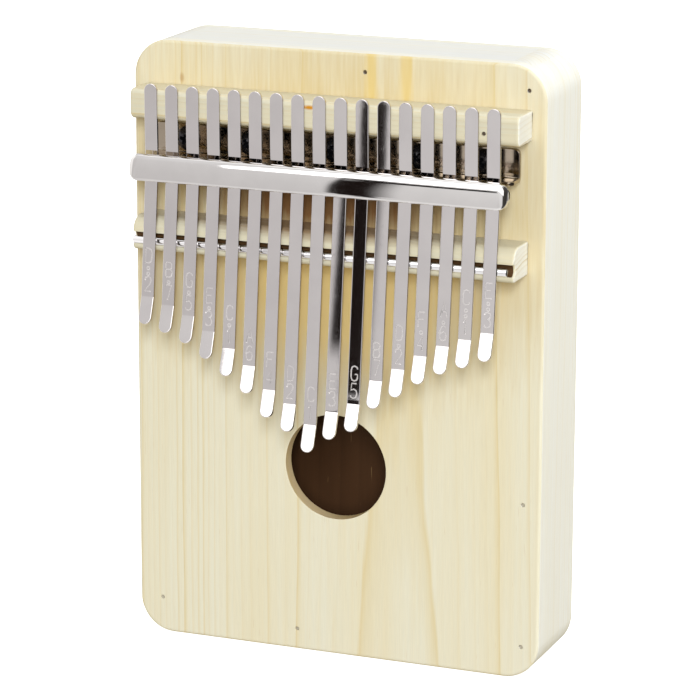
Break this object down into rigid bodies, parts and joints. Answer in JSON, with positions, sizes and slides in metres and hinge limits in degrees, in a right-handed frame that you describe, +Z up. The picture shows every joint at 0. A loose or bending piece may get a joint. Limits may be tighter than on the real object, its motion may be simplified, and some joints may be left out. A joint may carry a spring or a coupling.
{
  "type": "box kalimba",
  "caption": "Hollow pine box thumb piano with a round sound hole and a row of plated spring tines clamped over two wooden rests.",
  "frame": {"origin": "middle of the box's lower end face, which it stands on", "axes": "+Z up the instrument along the tines, -Y out of the soundboard towards the player, +X to the player's right"},
  "size_m": [0.13, 0.0551, 0.185],
  "materials": {
    "soundboard_pine": "flat-sawn pine under a thin clear satin lacquer, grain upright",
    "rail_pine": "pale pine, sanded, clear satin lacquer, end grain on the rails' ends",
    "bar_pine": "pale pine with the grain across, lightly sanded",
    "tine_nickel": "smooth nickel-plated spring steel, edges bright",
    "clamp_chrome": "bright nickel-chrome plate",
    "screw_black": "black oxide, shiny on the domed heads",
    "screw_steel": "bright zinc-plated steel",
    "brad_steel": "dull steel wire, sunk below the wood"
  },
  "bodies": {
    "box": {"soundboard": "soundboard_pine", "back_panel": "soundboard_pine", "side_rail_left": "rail_pine", "side_rail_right": "rail_pine", "top_rail": "rail_pine", "bottom_rail": "rail_pine", "clamp_block": "rail_pine", "soundboard_brad_1": "brad_steel", "soundboard_brad_2": "brad_steel", "soundboard_brad_3": "brad_steel", "soundboard_brad_4": "brad_steel", "soundboard_brad_5": "brad_steel", "soundboard_brad_6": "brad_steel", "back_panel_brad_1": "brad_steel", "back_panel_brad_2": "brad_steel", "back_panel_brad_3": "brad_steel", "back_panel_brad_4": "brad_steel", "back_panel_brad_5": "brad_steel", "back_panel_brad_6": "brad_steel", "rear_rest_bar": "bar_pine", "rest_bar_brad_1": "brad_steel", "rest_bar_brad_2": "brad_steel", "bridge_bar": "bar_pine", "bridge_rod": "clamp_chrome", "base_bracket": "clamp_chrome", "press_bar": "clamp_chrome", "press_screw_1": "screw_steel", "press_screw_2": "screw_steel", "press_screw_3": "screw_steel", "press_screw_4": "screw_steel", "bracket_screw_1": "screw_black", "bracket_screw_2": "screw_black", "bracket_screw_3": "screw_black", "bracket_screw_4": "screw_black", "bracket_screw_5": "screw_black"},
    "key_01": {"tine_01": "tine_nickel"},
    "key_02": {"tine_02": "tine_nickel"},
    "key_03": {"tine_03": "tine_nickel"},
    "key_04": {"tine_04": "tine_nickel"},
    "key_05": {"tine_05": "tine_nickel"},
    "key_06": {"tine_06": "tine_nickel"},
    "key_07": {"tine_07": "tine_nickel"},
    "key_08": {"tine_08": "tine_nickel"},
    "key_09": {"tine_09": "tine_nickel"},
    "key_10": {"tine_10": "tine_nickel"},
    "key_11": {"tine_11": "tine_nickel"},
    "key_12": {"tine_12": "tine_nickel"},
    "key_13": {"tine_13": "tine_nickel"},
    "key_14": {"tine_14": "tine_nickel"},
    "key_15": {"tine_15": "tine_nickel"},
    "key_16": {"tine_16": "tine_nickel"},
    "key_17": {"tine_17": "tine_nickel"}
  },
  "joints": [
    {"name": "key_01_pluck", "type": "hinge", "parent": "box", "child": "key_01", "pos_m": [-0.0536, -0.0291, 0.1268], "axis": [1, 0, 0], "range_deg": [0, 1.5], "stiffness_Nm_per_rad": 6.1},
    {"name": "key_02_pluck", "type": "hinge", "parent": "box", "child": "key_02", "pos_m": [-0.0469, -0.0291, 0.1268], "axis": [1, 0, 0], "range_deg": [0, 1.5], "stiffness_Nm_per_rad": 5.64},
    {"name": "key_03_pluck", "type": "hinge", "parent": "box", "child": "key_03", "pos_m": [-0.0402, -0.0291, 0.1268], "axis": [1, 0, 0], "range_deg": [0, 1.5], "stiffness_Nm_per_rad": 5.15},
    {"name": "key_04_pluck", "type": "hinge", "parent": "box", "child": "key_04", "pos_m": [-0.0335, -0.0291, 0.1268], "axis": [1, 0, 0], "range_deg": [0, 1.5], "stiffness_Nm_per_rad": 4.53},
    {"name": "key_05_pluck", "type": "hinge", "parent": "box", "child": "key_05", "pos_m": [-0.0268, -0.0291, 0.1268], "axis": [1, 0, 0], "range_deg": [0, 1.5], "stiffness_Nm_per_rad": 3.99},
    {"name": "key_06_pluck", "type": "hinge", "parent": "box", "child": "key_06", "pos_m": [-0.0201, -0.0291, 0.1268], "axis": [1, 0, 0], "range_deg": [0, 1.5], "stiffness_Nm_per_rad": 3.56},
    {"name": "key_07_pluck", "type": "hinge", "parent": "box", "child": "key_07", "pos_m": [-0.0134, -0.0291, 0.1268], "axis": [1, 0, 0], "range_deg": [0, 1.5], "stiffness_Nm_per_rad": 3.08},
    {"name": "key_08_pluck", "type": "hinge", "parent": "box", "child": "key_08", "pos_m": [-0.0067, -0.0291, 0.1268], "axis": [1, 0, 0], "range_deg": [0, 1.5], "stiffness_Nm_per_rad": 2.87},
    {"name": "key_09_pluck", "type": "hinge", "parent": "box", "child": "key_09", "pos_m": [0, -0.0291, 0.1268], "axis": [1, 0, 0], "range_deg": [0, 1.5], "stiffness_Nm_per_rad": 2.6},
    {"name": "key_10_pluck", "type": "hinge", "parent": "box", "child": "key_10", "pos_m": [0.0067, -0.0291, 0.1268], "axis": [1, 0, 0], "range_deg": [0, 1.5], "stiffness_Nm_per_rad": 2.82},
    {"name": "key_11_pluck", "type": "hinge", "parent": "box", "child": "key_11", "pos_m": [0.0134, -0.0291, 0.1268], "axis": [1, 0, 0], "range_deg": [0, 1.5], "stiffness_Nm_per_rad": 2.99},
    {"name": "key_12_pluck", "type": "hinge", "parent": "box", "child": "key_12", "pos_m": [0.0201, -0.0291, 0.1268], "axis": [1, 0, 0], "range_deg": [0, 1.5], "stiffness_Nm_per_rad": 3.52},
    {"name": "key_13_pluck", "type": "hinge", "parent": "box", "child": "key_13", "pos_m": [0.0268, -0.0291, 0.1268], "axis": [1, 0, 0], "range_deg": [0, 1.5], "stiffness_Nm_per_rad": 3.88},
    {"name": "key_14_pluck", "type": "hinge", "parent": "box", "child": "key_14", "pos_m": [0.0335, -0.0291, 0.1268], "axis": [1, 0, 0], "range_deg": [0, 1.5], "stiffness_Nm_per_rad": 4.4},
    {"name": "key_15_pluck", "type": "hinge", "parent": "box", "child": "key_15", "pos_m": [0.0402, -0.0291, 0.1268], "axis": [1, 0, 0], "range_deg": [0, 1.5], "stiffness_Nm_per_rad": 4.9},
    {"name": "key_16_pluck", "type": "hinge", "parent": "box", "child": "key_16", "pos_m": [0.0469, -0.0291, 0.1268], "axis": [1, 0, 0], "range_deg": [0, 1.5], "stiffness_Nm_per_rad": 5.34},
    {"name": "key_17_pluck", "type": "hinge", "parent": "box", "child": "key_17", "pos_m": [0.0536, -0.0291, 0.1268], "axis": [1, 0, 0], "range_deg": [0, 1.5], "stiffness_Nm_per_rad": 5.86}
  ]
}
